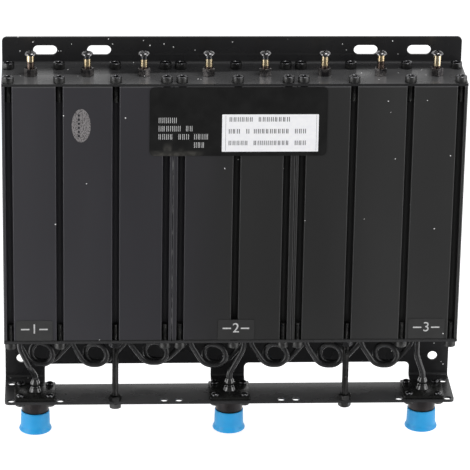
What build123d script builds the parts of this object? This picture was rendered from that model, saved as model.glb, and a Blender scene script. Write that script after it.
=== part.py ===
from build123d import *
import math
import os

# A wall-hung duplexer: eight round cavities in three extruded blocks between two bent sheets.
# X runs along the row of cavities, Y into the wall, Z up, all in millimetres.
# The origin is on the wall face of the slotted flange, midway along its row of slots.

# Sheet thickness, height of the blocks, their distance from the web, and the fit of round pieces
SHEET = 1.5
BLOCK_HEIGHT = 166.0
WALL_SPACE = 6.0
FIT = 0.05
CUT_PAST = 1.0

# Sheet brackets
BEND_RADIUS = 1.5
CORNER_RADIUS = 3.0
FLANGE_HEIGHT = 16.8
SLOT_LENGTH = 14.5
SLOT_HEIGHT = 6.0
OUTER_SLOT_INSET = 26.1
INNER_SLOT_INSET = 58.8
SHELF_DROP = 39.8
WINDOW_INNER_X = 10.6
WINDOW_END_INSET = 24.8
WINDOW_RISE = 8.9
WINDOW_REACH = 11.3
LEG_HOLE_INSET = 10.0
LEG_HOLE_RISE = 13.0
LEG_HOLE_DIAMETER = 6.0
ACCESS_HOLE_DIAMETER = 5.0

# Cavities and screw channels
CAVITY_BORE = 27.5
CAVITY_WALL = 6.5
FACE_WALL = 2.75
SIDE_END_WALL = 3.75
CENTRE_END_WALL = 6.25
CENTRE_SHIFT = 1.6
BLOCK_EDGE_RADIUS = 1.0
CHANNEL_WIDTH = 4.2
CHANNEL_LIP = 0.7
ROW_INSET = 3.5
SIDE_END_INSET = 4.05
CENTRE_END_INSET = 5.1

# Socket-head screws, studs and their nuts
SCREW_SHANK = 4.0
SCREW_HOLE = 4.4
SCREW_LENGTH = 12.0
SCREW_HEAD = 7.0
SCREW_HEAD_HEIGHT = 4.0
SCREW_SOCKET = 3.0
SCREW_SOCKET_DEPTH = 2.0
NUT_FLATS = 7.0
NUT_HEIGHT = 3.2
STUD_TAIL = 0.6

# Tuners
TUNER_DIAMETER = 4.5
TUNER_RISE = 13.1
TUNER_REACH = 8.0
TUNER_TRAVEL = 8.0
TUNER_CORE = 2.5
TUNER_HEAD = 7.0
TUNER_HEAD_HEIGHT = 2.2
TUNER_DOME = 0.8
RECESS_WIDTH = 1.0
RECESS_LENGTH = 3.8
RECESS_DEPTH = 1.2
LOCK_NUT_HEIGHT = 4.8

# Resonators and coupling straps
RESONATOR_DIAMETER = 8.0
RESONATOR_GAP = 2.0
SPIGOT_DIAMETER = 5.0
STRAP_WIDTH = 2.0
STRAP_THICKNESS = 0.6
STRAP_RISE = 14.0
STRAP_SPAN = 4.0

# Coax cable
CABLE_DIAMETER = 3.5
LAYER_GAP = 4.0
PORT_LAYER_GAP = 4.2
LOOP_RADIUS = 6.6
LOOP_SLACK = 0.1
LINK_FALL_IN = 15.0
LINK_FALL_OUT = 14.0
END_BEND_RADIUS = 14.0
LEAD_IN_RADIUS = 9.0
LEAD_OUT_RADIUS = 10.0
BEND_SHARE = 0.495

# Jacks on the shelf
JACK_END_INSET = 18.8
JACK_INSET = 14.1
FLANGE_SIDE = 25.4
FLANGE_THICKNESS = 2.0
FLANGE_CORNER_RADIUS = 1.5
FLANGE_HOLE_PITCH = 18.26
BARREL_DIAMETER = 15.88
BARREL_LENGTH = 19.0
JACK_BORE = 8.1
INSULATOR_LENGTH = 12.0
CONTACT_DIAMETER = 3.0
CONTACT_REACH = 5.0
CONTACT_SOCKET = 1.7
SLEEVE_DIAMETER = 6.6
SLEEVE_HEIGHT = 3.7
SLEEVE_NECK_DIAMETER = 5.0
SLEEVE_NECK_HEIGHT = 5.0
JACK_SCREW = 3.0
JACK_SCREW_HEAD = 5.5
JACK_SCREW_HEAD_HEIGHT = 2.0
JACK_SCREW_TAIL = 0.4
JACK_NUT_FLATS = 5.5
JACK_NUT_HEIGHT = 2.4

# Dust caps
CAP_DIAMETER = 17.8
CAP_LENGTH = 13.4
CAP_LIP_DIAMETER = 19.9
CAP_LIP_HEIGHT = 2.4
CAP_FLARE = 3.8
CAP_FLOOR = 1.5
CAP_EDGE_RADIUS = 1.0
CAP_COVER = 8.7

# Labels on the front
LABEL_THICKNESS = 0.3
SHEET_LABEL_WIDTH = 106.8
SHEET_LABEL_HEIGHT = 43.8
SHEET_LABEL_X = 2.1
SHEET_LABEL_DROP = 0.4
STICKER_WIDTH = 22.5
STICKER_HEIGHT = 13.4
STICKER_RISE = 7.4
LEFT_STICKER_INSET = 18.7
RIGHT_STICKER_INSET = 19.5
MIDDLE_STICKER_X = 2.75
STICKER_RADIUS = 1.0

# Places that follow from the sizes
BLOCK_DEPTH = CAVITY_BORE + 2 * FACE_WALL
CAVITY_PITCH = CAVITY_BORE + CAVITY_WALL
SIDE_BLOCK_WIDTH = 2 * CAVITY_PITCH + CAVITY_BORE + 2 * SIDE_END_WALL
CENTRE_BLOCK_WIDTH = CAVITY_PITCH + CAVITY_BORE + 2 * CENTRE_END_WALL
WIDTH = CENTRE_BLOCK_WIDTH + 2 * SIDE_BLOCK_WIDTH
END_X = WIDTH / 2
FRONT_Y = -(SHEET + WALL_SPACE + BLOCK_DEPTH)
BACK_Y = -(SHEET + WALL_SPACE)
MID_Y = FRONT_Y + BLOCK_DEPTH / 2
ROWS_Y = (FRONT_Y + ROW_INSET, BACK_Y - ROW_INSET)
TOP_Z = -FLANGE_HEIGHT / 2
BLOCK_TOP_Z = TOP_Z - SHEET
BLOCK_BOTTOM_Z = BLOCK_TOP_Z - BLOCK_HEIGHT
FLOOR_Z = BLOCK_BOTTOM_Z - SHEET
SHELF_Z = FLOOR_Z - SHELF_DROP
SHELF_UNDER_Z = SHELF_Z - SHEET
JACK_Y = FRONT_Y + JACK_INSET
JACKS_X = (JACK_END_INSET - END_X, 0.0, END_X - JACK_END_INSET)
JACK_TOP_Z = SHELF_Z + FLANGE_THICKNESS
SLEEVE_TOP_Z = JACK_TOP_Z + SLEEVE_HEIGHT + SLEEVE_NECK_HEIGHT
BARREL_END_Z = SHELF_Z - BARREL_LENGTH
CAP_TOP_Z = BARREL_END_Z + CAP_COVER
FRONT_LAYER_Y = MID_Y - LAYER_GAP / 2
BACK_LAYER_Y = MID_Y + LAYER_GAP / 2
PORT_LAYER_Y = FRONT_LAYER_Y - PORT_LAYER_GAP
RESONATOR_TOP_Z = BLOCK_TOP_Z - TUNER_REACH - TUNER_TRAVEL - RESONATOR_GAP
STICKERS_X = (LEFT_STICKER_INSET - END_X, MIDDLE_STICKER_X, END_X - RIGHT_STICKER_INSET)

SIDE_BLOCK_X = (WIDTH - SIDE_BLOCK_WIDTH) / 2
SIDE_CAVITIES = (-CAVITY_PITCH, 0.0, CAVITY_PITCH)
CENTRE_CAVITIES = (CENTRE_SHIFT - CAVITY_PITCH / 2, CENTRE_SHIFT + CAVITY_PITCH / 2)
CAVITIES_X = (
    [x - SIDE_BLOCK_X for x in SIDE_CAVITIES]
    + list(CENTRE_CAVITIES)
    + [x + SIDE_BLOCK_X for x in SIDE_CAVITIES]
)
SIDE_END = SIDE_BLOCK_WIDTH / 2 - SIDE_END_INSET
CENTRE_END = CENTRE_BLOCK_WIDTH / 2 - CENTRE_END_INSET
SIDE_CHANNELS = (-SIDE_END, -CAVITY_PITCH / 2, CAVITY_PITCH / 2, SIDE_END)
CENTRE_CHANNELS = (-CENTRE_END, CENTRE_SHIFT, CENTRE_END)
CHANNELS_X = (
    [x - SIDE_BLOCK_X for x in SIDE_CHANNELS]
    + list(CENTRE_CHANNELS)
    + [x + SIDE_BLOCK_X for x in SIDE_CHANNELS]
)
STUDS_X = (CHANNELS_X[2], CHANNELS_X[-3])
ACCESS_X = [x for x in CHANNELS_X if x not in STUDS_X and x != CENTRE_SHIFT]

# Each cable hole's distance from the left side of its bore, the middle of each link's turn from midway
# between its two cavities, and how far the turn hangs below the floor
LINK_STARTS = (5.45, 4.15, 4.75, 4.55, 8.05, 6.55, 6.95)
LINK_ENDS = (4.15, 3.85, 3.45, 4.15, 6.15, 7.15, 5.65)
LINK_TURNS = (-11.3, -11.8, -11.05, -10.8, -7.65, -8.3, -7.7)
LINK_DROPS = (19.9, 20.4, 19.2, 21.3, 21.2, 21.8, 22.0)

# Port cables: the hole in its cavity, then the points on the way down to the jack, as shares of the way
# across, forward and down
PORT_CAVITIES_X = (CAVITIES_X[0], CAVITIES_X[4], CAVITIES_X[-1])
PORT_STARTS = (5.85, 3.75, 8.15)
PORT_LAYERS_Y = (PORT_LAYER_Y, FRONT_LAYER_Y, FRONT_LAYER_Y)
PORT_ROUTES = (
    ((0, 0, 0.261), (0.63, 0, 0.691), (1, 1, 0.948)),
    ((0, 0, 0.347), (1, 1, 0.921)),
    ((0, 0, 0.519), (1, 1, 0.948)),
)
PORT_RADII = ((14.0, 12.0, 6.0), (16.0, 8.0), (20.0, 8.0))


def save(node, *solids):
    shape = Compound(children=list(solids)) if len(solids) > 1 else solids[0]
    shape.label = node
    export_step(shape, f"parts/{node}.step")


def box(x0, x1, y0, y1, z0, z1):
    return Pos((x0 + x1) / 2, (y0 + y1) / 2, (z0 + z1) / 2) * Box(x1 - x0, y1 - y0, z1 - z0)


def rod(x, y, z0, z1, diameter):
    return Pos(x, y, (z0 + z1) / 2) * Cylinder(diameter / 2, z1 - z0)


def edges_at(solid, axis, **places):
    picked = solid.edges().filter_by(axis)
    for name, value in places.items():
        picked = picked.filter_by(lambda e: abs(getattr(e.center(), name) - value) < 1e-4)
    return picked


def screw_places(rows=ROWS_Y):
    return [(x, y) for x in CHANNELS_X for y in rows]


def floor_screw_places():
    return [(x, y) for x, y in screw_places() if not (x in STUDS_X and y == ROWS_Y[0])]


def entry_x(cavity_x, gap):
    return cavity_x - CAVITY_BORE / 2 + gap


def cable_entries():
    entries = [(entry_x(x, gap), FRONT_LAYER_Y) for x, gap in zip(CAVITIES_X, LINK_STARTS)]
    entries += [(entry_x(x, gap), BACK_LAYER_Y) for x, gap in zip(CAVITIES_X[1:], LINK_ENDS)]
    entries += [(entry_x(x, gap), y) for x, gap, y in zip(PORT_CAVITIES_X, PORT_STARTS, PORT_LAYERS_Y)]
    return entries


def flange_hole_places():
    half = FLANGE_HOLE_PITCH / 2
    return [(x + dx, JACK_Y + dy) for x in JACKS_X for dx in (-half, half) for dy in (-half, half)]


# Brackets

def top_bracket():
    lid = box(-END_X, END_X, FRONT_Y, 0, BLOCK_TOP_Z, TOP_Z)
    flange = box(-END_X, END_X, -SHEET, 0, BLOCK_TOP_Z, TOP_Z + FLANGE_HEIGHT)
    sheet = lid + flange
    sheet = fillet(edges_at(sheet, Axis.X, Y=-SHEET, Z=TOP_Z), BEND_RADIUS)
    sheet = fillet(edges_at(sheet, Axis.X, Y=0, Z=BLOCK_TOP_Z), BEND_RADIUS + SHEET)
    sheet = fillet(edges_at(sheet, Axis.Y, Z=TOP_Z + FLANGE_HEIGHT), CORNER_RADIUS)
    slot = Rot(90, 0, 0) * extrude(SlotOverall(SLOT_LENGTH, SLOT_HEIGHT), 2 * SHEET, both=True)
    for inset in (OUTER_SLOT_INSET, INNER_SLOT_INSET):
        sheet -= Pos(END_X - inset, 0, 0) * slot
        sheet -= Pos(inset - END_X, 0, 0) * slot
    for x, y in screw_places():
        sheet -= rod(x, y, BLOCK_TOP_Z - CUT_PAST, TOP_Z + CUT_PAST, SCREW_HOLE)
    for x in CAVITIES_X:
        sheet -= rod(x, MID_Y, BLOCK_TOP_Z - CUT_PAST, TOP_Z + CUT_PAST, TUNER_DIAMETER + 2 * FIT)
    return sheet


def window():
    cutter = box(
        WINDOW_INNER_X, END_X - WINDOW_END_INSET, -SHEET - WINDOW_REACH, SHEET,
        SHELF_UNDER_Z - SHEET, SHELF_Z + WINDOW_RISE,
    )
    cutter = fillet(edges_at(cutter, Axis.Y, Z=SHELF_Z + WINDOW_RISE), CORNER_RADIUS)
    return fillet(edges_at(cutter, Axis.Z, Y=-SHEET - WINDOW_REACH), CORNER_RADIUS)


def bent_channel():
    floor = box(-END_X, END_X, FRONT_Y, 0, FLOOR_Z, BLOCK_BOTTOM_Z)
    web = box(-END_X, END_X, -SHEET, 0, SHELF_UNDER_Z, BLOCK_BOTTOM_Z)
    shelf = box(-END_X, END_X, FRONT_Y, 0, SHELF_UNDER_Z, SHELF_Z)
    sheet = floor + web + shelf
    for z in (FLOOR_Z, SHELF_Z):
        sheet = fillet(edges_at(sheet, Axis.X, Y=-SHEET, Z=z), BEND_RADIUS)
    for z in (BLOCK_BOTTOM_Z, SHELF_UNDER_Z):
        sheet = fillet(edges_at(sheet, Axis.X, Y=0, Z=z), BEND_RADIUS + SHEET)
    middle = (SHELF_Z + SHELF_UNDER_Z) / 2
    return fillet(edges_at(sheet, Axis.Z, Y=FRONT_Y, Z=middle), CORNER_RADIUS)


def bottom_bracket():
    sheet = bent_channel()
    opening = window()
    sheet -= opening
    sheet -= mirror(opening, Plane.YZ)
    leg_hole = Rot(90, 0, 0) * Cylinder(LEG_HOLE_DIAMETER / 2, 4 * SHEET)
    for x in (LEG_HOLE_INSET - END_X, END_X - LEG_HOLE_INSET):
        sheet -= Pos(x, 0, SHELF_Z + LEG_HOLE_RISE) * leg_hole
    for x, y in screw_places():
        sheet -= rod(x, y, FLOOR_Z - CUT_PAST, BLOCK_BOTTOM_Z + CUT_PAST, SCREW_HOLE)
    for x in CAVITIES_X:
        sheet -= rod(x, MID_Y, FLOOR_Z - CUT_PAST, BLOCK_BOTTOM_Z + CUT_PAST, SPIGOT_DIAMETER + 2 * FIT)
    for x, y in cable_entries():
        sheet -= rod(x, y, FLOOR_Z - CUT_PAST, BLOCK_BOTTOM_Z + CUT_PAST, CABLE_DIAMETER + 2 * FIT)
    return cut_shelf(sheet)


def cut_shelf(sheet):
    ends = (CHANNELS_X[0], CHANNELS_X[-1])
    access = [(x, ROWS_Y[0]) for x in ACCESS_X] + [(x, ROWS_Y[1]) for x in ends]
    low, high = SHELF_UNDER_Z - CUT_PAST, SHELF_Z + CUT_PAST
    for x, y in access:
        sheet -= rod(x, y, low, high, ACCESS_HOLE_DIAMETER)
    for x in STUDS_X:
        sheet -= rod(x, ROWS_Y[0], low, high, SCREW_HOLE)
    for x in JACKS_X:
        sheet -= rod(x, JACK_Y, low, high, BARREL_DIAMETER + 6 * FIT)
    for x, y in flange_hole_places():
        sheet -= rod(x, y, low, high, JACK_SCREW + 4 * FIT)
    return sheet


# Cavity blocks

def channel_cut(x, side):
    face_y = side * BLOCK_DEPTH / 2
    row_y = face_y - side * ROW_INSET
    groove = Pos(x, row_y) * Circle(CHANNEL_WIDTH / 2)
    beyond_y = face_y + side * CUT_PAST
    mouth = Pos(x, (row_y + beyond_y) / 2) * Rectangle(CHANNEL_WIDTH, abs(beyond_y - row_y))
    return groove + mouth


def block(width, cavities, channels):
    section = RectangleRounded(width, BLOCK_DEPTH, BLOCK_EDGE_RADIUS)
    for x in channels:
        for side in (-1, 1):
            section -= channel_cut(x, side)
    lips = section.vertices().filter_by(
        lambda v: abs(abs(v.Y) - BLOCK_DEPTH / 2) < 1e-4
        and any(abs(abs(v.X - x) - CHANNEL_WIDTH / 2) < 1e-4 for x in channels)
    )
    section = fillet(lips, CHANNEL_LIP)
    for x in cavities:
        section -= Pos(x, 0) * Circle(CAVITY_BORE / 2)
    return Pos(0, MID_Y, BLOCK_BOTTOM_Z) * extrude(section, BLOCK_HEIGHT)


# Fasteners

def socket_screw():
    head = Pos(0, 0, SCREW_HEAD_HEIGHT / 2) * Cylinder(SCREW_HEAD / 2, SCREW_HEAD_HEIGHT)
    shank = Pos(0, 0, -SCREW_LENGTH / 2) * Cylinder(SCREW_SHANK / 2, SCREW_LENGTH)
    socket = RegularPolygon(SCREW_SOCKET / 2, 6, major_radius=False)
    recess = Pos(0, 0, SCREW_HEAD_HEIGHT) * extrude(socket, -SCREW_SOCKET_DEPTH)
    return head + shank - recess


def hex_nut(flats, height, bore):
    nut = extrude(RegularPolygon(flats / 2, 6, major_radius=False), height)
    return nut - Pos(0, 0, height / 2) * Cylinder(bore / 2, 2 * height)


def top_screws():
    return [Pos(x, y, TOP_Z) * socket_screw() for x, y in screw_places()]


def bottom_screws():
    return [Pos(x, y, FLOOR_Z) * Rot(180, 0, 0) * socket_screw() for x, y in floor_screw_places()]


def studs():
    top = FLOOR_Z + SCREW_LENGTH
    bottom = SHELF_UNDER_Z - NUT_HEIGHT - STUD_TAIL
    return [rod(x, ROWS_Y[0], bottom, top, SCREW_SHANK) for x in STUDS_X]


def stud_nuts():
    nut = hex_nut(NUT_FLATS, NUT_HEIGHT, SCREW_SHANK + 2 * FIT)
    levels = (FLOOR_Z - NUT_HEIGHT, SHELF_Z, SHELF_UNDER_Z - NUT_HEIGHT)
    return [Pos(x, ROWS_Y[0], z) * nut for x in STUDS_X for z in levels]


# Tuners

def tuner_screw(x):
    seat_z = TOP_Z + TUNER_RISE
    flat = TUNER_HEAD_HEIGHT - TUNER_DOME
    radius = TUNER_HEAD / 2
    half_profile = make_face([
        Polyline((0, TUNER_HEAD_HEIGHT), (0, 0), (radius, 0), (radius, flat)),
        ThreePointArc((radius, flat), (radius * 0.6, TUNER_HEAD_HEIGHT - TUNER_DOME * 0.36),
                      (0, TUNER_HEAD_HEIGHT)),
    ])
    head = revolve(Plane.XZ * half_profile, Axis.Z)
    cross = Box(RECESS_LENGTH, RECESS_WIDTH, 2 * RECESS_DEPTH) + Box(RECESS_WIDTH, RECESS_LENGTH, 2 * RECESS_DEPTH)
    head -= Pos(0, 0, TUNER_HEAD_HEIGHT) * cross
    core_end = BLOCK_TOP_Z - TUNER_REACH / 2
    return Pos(x, MID_Y, seat_z) * head + rod(x, MID_Y, core_end, seat_z, TUNER_CORE)


def tuner_sleeve(x):
    low = BLOCK_TOP_Z - TUNER_REACH
    core_end = BLOCK_TOP_Z - TUNER_REACH / 2
    sleeve = rod(x, MID_Y, low, TOP_Z + TUNER_RISE, TUNER_DIAMETER)
    return sleeve - rod(x, MID_Y, core_end, TOP_Z + TUNER_RISE + CUT_PAST, TUNER_CORE + 2 * FIT)


def lock_nuts():
    nut = hex_nut(NUT_FLATS, LOCK_NUT_HEIGHT, TUNER_DIAMETER + 2 * FIT)
    return [Pos(x, MID_Y, TOP_Z) * nut for x in CAVITIES_X]


# Inside the cavities

def resonator(x):
    body = rod(x, MID_Y, BLOCK_BOTTOM_Z, RESONATOR_TOP_Z, RESONATOR_DIAMETER)
    return body + rod(x, MID_Y, FLOOR_Z, BLOCK_BOTTOM_Z + CUT_PAST, SPIGOT_DIAMETER)


def coupling_strap(x, y, side):
    foot = side * STRAP_SPAN
    strap = Pos(0, foot / 2, STRAP_RISE / 2) * Box(STRAP_WIDTH, STRAP_SPAN, STRAP_RISE)
    inner_span = STRAP_SPAN - 2 * STRAP_THICKNESS
    strap -= Pos(0, foot / 2, STRAP_RISE / 2 - STRAP_THICKNESS) * Box(STRAP_WIDTH, inner_span, STRAP_RISE)
    return Pos(x, y - side * STRAP_THICKNESS / 2, BLOCK_BOTTOM_Z) * strap


def coupling_straps():
    straps = []
    beside_port = (entry_x(CAVITIES_X[0], LINK_STARTS[0]), FRONT_LAYER_Y)
    for x, y in cable_entries():
        side = 1 if y > MID_Y or (x, y) == beside_port else -1
        straps.append(coupling_strap(x, y, side))
    return straps


# Coax cables

def bend_radii(points, wanted):
    radii = []
    for before, corner, after, radius in zip(points, points[1:], points[2:], wanted):
        run_in = Vector(*corner) - Vector(*before)
        run_out = Vector(*after) - Vector(*corner)
        half_turn = math.radians(run_in.get_angle(run_out) / 2)
        limit = BEND_SHARE * min(run_in.length, run_out.length) / math.tan(half_turn)
        radii.append(min(radius, limit))
    return radii


def tube(node, points, wanted):
    radii = bend_radii(points, wanted)
    path = FilletPolyline(*points, radius=radii)
    section = Plane(origin=path @ 0, z_dir=path % 0) * Circle(CABLE_DIAMETER / 2)
    cable = sweep(section, path=path)
    ideal = path.length * section.area
    shown = [round(radius, 1) for radius in radii]
    print(node, "radii", shown, "length", round(path.length, 1), "volume", round(cable.volume / ideal, 5))
    return cable


def link_cable(i):
    turn = LOOP_RADIUS
    start = entry_x(CAVITIES_X[i], LINK_STARTS[i])
    end = entry_x(CAVITIES_X[i + 1], LINK_ENDS[i])
    middle = (CAVITIES_X[i] + CAVITIES_X[i + 1]) / 2 + LINK_TURNS[i]
    low = FLOOR_Z - LINK_DROPS[i]
    high = low + 2 * turn
    front, back = FRONT_LAYER_Y, BACK_LAYER_Y
    points = [
        (start, front, BLOCK_BOTTOM_Z), (start, front, low + LINK_FALL_IN), (middle - turn, front, low),
        (middle + turn, front, low), (middle + turn, front, high), (middle - turn, back, high),
        (middle - turn, back, low), (middle + turn, back, low), (end, back, low + LINK_FALL_OUT),
        (end, back, BLOCK_BOTTOM_Z),
    ]
    ring = [turn - LOOP_SLACK] * 4
    radii = [END_BEND_RADIUS, LEAD_IN_RADIUS, *ring, LEAD_OUT_RADIUS, END_BEND_RADIUS]
    return tube(f"link_cable_{i + 1}", points, radii)


def port_cable(i):
    x, y = entry_x(PORT_CAVITIES_X[i], PORT_STARTS[i]), PORT_LAYERS_Y[i]
    points = [(x, y, BLOCK_BOTTOM_Z)]
    for across, forward, down in PORT_ROUTES[i]:
        points.append((
            x + across * (JACKS_X[i] - x), y + forward * (JACK_Y - y),
            FLOOR_Z + down * (SLEEVE_TOP_Z - FLOOR_Z),
        ))
    points.append((JACKS_X[i], JACK_Y, JACK_TOP_Z))
    return tube(f"port_cable_{i + 1}", points, PORT_RADII[i])


# Jacks

def jack(x):
    flange = extrude(RectangleRounded(FLANGE_SIDE, FLANGE_SIDE, FLANGE_CORNER_RADIUS), FLANGE_THICKNESS)
    half = FLANGE_HOLE_PITCH / 2
    for dx in (-half, half):
        for dy in (-half, half):
            flange -= Pos(dx, dy, FLANGE_THICKNESS / 2) * Cylinder(JACK_SCREW / 2 + 2 * FIT, 2 * FLANGE_THICKNESS)
    barrel = Pos(0, 0, -BARREL_LENGTH / 2) * Cylinder(BARREL_DIAMETER / 2, BARREL_LENGTH)
    body = flange + barrel
    body -= Cylinder(JACK_BORE / 2, 4 * BARREL_LENGTH)
    return Pos(x, JACK_Y, SHELF_Z) * body


def insulator(x):
    low = JACK_TOP_Z - INSULATOR_LENGTH
    body = rod(x, JACK_Y, low, JACK_TOP_Z, JACK_BORE - 2 * FIT)
    return body - rod(x, JACK_Y, low - CUT_PAST, JACK_TOP_Z + CUT_PAST, CONTACT_DIAMETER + 2 * FIT)


def contact(x):
    low = JACK_TOP_Z - INSULATOR_LENGTH - CONTACT_REACH
    pin = rod(x, JACK_Y, low, JACK_TOP_Z, CONTACT_DIAMETER)
    return pin - rod(x, JACK_Y, low - CUT_PAST, low + CONTACT_REACH, CONTACT_SOCKET)


def cable_sleeve(x):
    shoulder = JACK_TOP_Z + SLEEVE_HEIGHT
    top = shoulder + SLEEVE_NECK_HEIGHT
    body = rod(x, JACK_Y, JACK_TOP_Z, shoulder, SLEEVE_DIAMETER)
    body += rod(x, JACK_Y, shoulder - CUT_PAST, top, SLEEVE_NECK_DIAMETER)
    return body - rod(x, JACK_Y, JACK_TOP_Z - CUT_PAST, top + CUT_PAST, CABLE_DIAMETER + 2 * FIT)


def jack_screws():
    tail = SHELF_UNDER_Z - JACK_NUT_HEIGHT - JACK_SCREW_TAIL
    screws = []
    for x, y in flange_hole_places():
        head = rod(x, y, JACK_TOP_Z, JACK_TOP_Z + JACK_SCREW_HEAD_HEIGHT, JACK_SCREW_HEAD)
        screws.append(head + rod(x, y, tail, JACK_TOP_Z + CUT_PAST, JACK_SCREW))
    return screws


def jack_nuts():
    nut = hex_nut(JACK_NUT_FLATS, JACK_NUT_HEIGHT, JACK_SCREW + 2 * FIT)
    return [Pos(x, y, SHELF_UNDER_Z - JACK_NUT_HEIGHT) * nut for x, y in flange_hole_places()]


def dust_cap(x):
    outer = CAP_DIAMETER / 2
    lip = CAP_LIP_DIAMETER / 2
    bore = BARREL_DIAMETER / 2 + FIT
    flare_top = CAP_LENGTH - CAP_LIP_HEIGHT - CAP_FLARE
    lip_top = CAP_LENGTH - CAP_LIP_HEIGHT
    profile = make_face(Polyline(
        (bore, 0), (outer, 0), (outer, -flare_top), (lip, -lip_top), (lip, -CAP_LENGTH),
        (0, -CAP_LENGTH), (0, -CAP_LENGTH + CAP_FLOOR), (bore, -CAP_LENGTH + CAP_FLOOR), close=True,
    ))
    lower = profile.vertices().filter_by(
        lambda v: v.X > lip - 0.01 and v.Y < -CAP_LENGTH + 0.01
    )
    profile = fillet(lower, CAP_EDGE_RADIUS)
    cap = revolve(Plane.XZ * profile, Axis.Z)
    return Pos(x, JACK_Y, CAP_TOP_Z) * cap


# Labels

def label(width, height, radius, x, z):
    plate = extrude(RectangleRounded(width, height, radius), LABEL_THICKNESS)
    return Pos(x, FRONT_Y, z) * Rot(90, 0, 0) * plate


def label_sheet():
    z = BLOCK_TOP_Z - SHEET_LABEL_DROP - SHEET_LABEL_HEIGHT / 2
    return label(SHEET_LABEL_WIDTH, SHEET_LABEL_HEIGHT, CORNER_RADIUS, SHEET_LABEL_X, z)


def port_stickers():
    z = BLOCK_BOTTOM_Z + STICKER_RISE
    return [label(STICKER_WIDTH, STICKER_HEIGHT, STICKER_RADIUS, x, z) for x in STICKERS_X]


os.makedirs("parts", exist_ok=True)

save("top_bracket", top_bracket())
save("bottom_bracket", bottom_bracket())
save("cavity_block_left", Pos(-SIDE_BLOCK_X, 0, 0) * block(SIDE_BLOCK_WIDTH, SIDE_CAVITIES, SIDE_CHANNELS))
save("cavity_block_centre", block(CENTRE_BLOCK_WIDTH, CENTRE_CAVITIES, CENTRE_CHANNELS))
save("cavity_block_right", Pos(SIDE_BLOCK_X, 0, 0) * block(SIDE_BLOCK_WIDTH, SIDE_CAVITIES, SIDE_CHANNELS))
save("top_screws", *top_screws())
save("bottom_screws", *bottom_screws())
save("studs", *studs())
save("stud_nuts", *stud_nuts())
save("lock_nuts", *lock_nuts())
for number, cavity_x in enumerate(CAVITIES_X, 1):
    save(f"tuner_screw_{number}", tuner_screw(cavity_x))
    save(f"tuner_sleeve_{number}", tuner_sleeve(cavity_x))
    save(f"resonator_{number}", resonator(cavity_x))
save("coupling_straps", *coupling_straps())
for index in range(len(LINK_TURNS)):
    save(f"link_cable_{index + 1}", link_cable(index))
for index, jack_x in enumerate(JACKS_X):
    save(f"port_cable_{index + 1}", port_cable(index))
    save(f"port_jack_{index + 1}", jack(jack_x))
    save(f"dust_cap_{index + 1}", dust_cap(jack_x))
save("jack_insulators", *[insulator(x) for x in JACKS_X])
save("jack_contacts", *[contact(x) for x in JACKS_X])
save("cable_sleeves", *[cable_sleeve(x) for x in JACKS_X])
save("jack_screws", *jack_screws())
save("jack_nuts", *jack_nuts())
save("label_sheet", label_sheet())
save("port_stickers", *port_stickers())
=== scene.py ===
import bpy
import bmesh
import random
from math import atan2, cos, pi, radians, sin, tan
from mathutils import Matrix, Vector


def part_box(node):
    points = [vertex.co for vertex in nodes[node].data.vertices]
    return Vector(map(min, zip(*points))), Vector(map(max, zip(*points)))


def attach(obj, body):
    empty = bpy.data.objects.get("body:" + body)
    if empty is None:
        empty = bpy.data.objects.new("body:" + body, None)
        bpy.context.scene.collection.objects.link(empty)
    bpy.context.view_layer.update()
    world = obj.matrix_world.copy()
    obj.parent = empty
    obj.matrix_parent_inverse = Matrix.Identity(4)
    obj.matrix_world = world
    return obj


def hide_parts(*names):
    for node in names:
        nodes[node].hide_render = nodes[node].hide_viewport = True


# Looks for a wall-hung cavity duplexer: black extrusions between bent sheets, brass tuners,
# looped coax links and three capped jacks. Shapes are built in millimetres and scaled to metres at the end.

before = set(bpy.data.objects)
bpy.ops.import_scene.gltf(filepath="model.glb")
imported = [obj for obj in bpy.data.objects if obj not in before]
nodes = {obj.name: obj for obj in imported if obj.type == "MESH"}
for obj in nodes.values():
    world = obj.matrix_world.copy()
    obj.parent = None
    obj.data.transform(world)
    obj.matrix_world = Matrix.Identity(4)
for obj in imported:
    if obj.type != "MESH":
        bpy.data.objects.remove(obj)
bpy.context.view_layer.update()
mm = 0.001
print("frame:", len(nodes), "nodes")


# Places shared by several pieces, in millimetres, read off the part

channels = {
    # screw channels, from the middle of a side block and of the centre block, and in from a block's face
    "sideX": (-47.45, -17.0, 17.0, 47.45), "centreX": (-31.9, 1.6, 31.9), "inset": 3.5,
}
sheet, holeReach = 1.5, 9.13


def place(nodeName, axis, share):
    # along an axis of a node's box, from 0 at its start to 1 at its end
    low, high = (corner["xyz".index(axis)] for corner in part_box(nodeName))
    return round((low + share * (high - low)) / mm, 1)


def channelPlaces(blockName, places):
    return [place(blockName, "x", 0.5) + x for x in places]


layout = {
    "frontY": place("cavity_block_left", "y", 0), "midY": place("resonator_1", "y", 0.5),
    "rowsY": (place("cavity_block_left", "y", 0) + channels["inset"],
              place("cavity_block_left", "y", 1) - channels["inset"]),
    "channelsX": channelPlaces("cavity_block_left", channels["sideX"])
    + channelPlaces("cavity_block_centre", channels["centreX"])
    + channelPlaces("cavity_block_right", channels["sideX"]),
    "cavitiesX": [place(f"resonator_{number}", "x", 0.5) for number in range(1, 9)],
    "lidZ": place("lock_nuts", "z", 0), "floorZ": place("resonator_1", "z", 0),
    "shelfUnderZ": place("bottom_bracket", "z", 0), "shelfZ": place("bottom_bracket", "z", 0) + sheet,
    "jacksX": [place(f"port_jack_{number}", "x", 0.5) for number in range(1, 4)],
    "jackY": place("port_jack_1", "y", 0.5), "jackTopZ": place("jack_insulators", "z", 1),
    "labelY": place("label_sheet", "y", 0),
}
layout["studsX"] = (layout["channelsX"][2], layout["channelsX"][-3])
layout["studRowY"] = layout["rowsY"][0]
layout["flangeHoles"] = [(x + dx, layout["jackY"] + dy) for x in layout["jacksX"]
                         for dx in (-holeReach, holeReach) for dy in (-holeReach, holeReach)]


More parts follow.
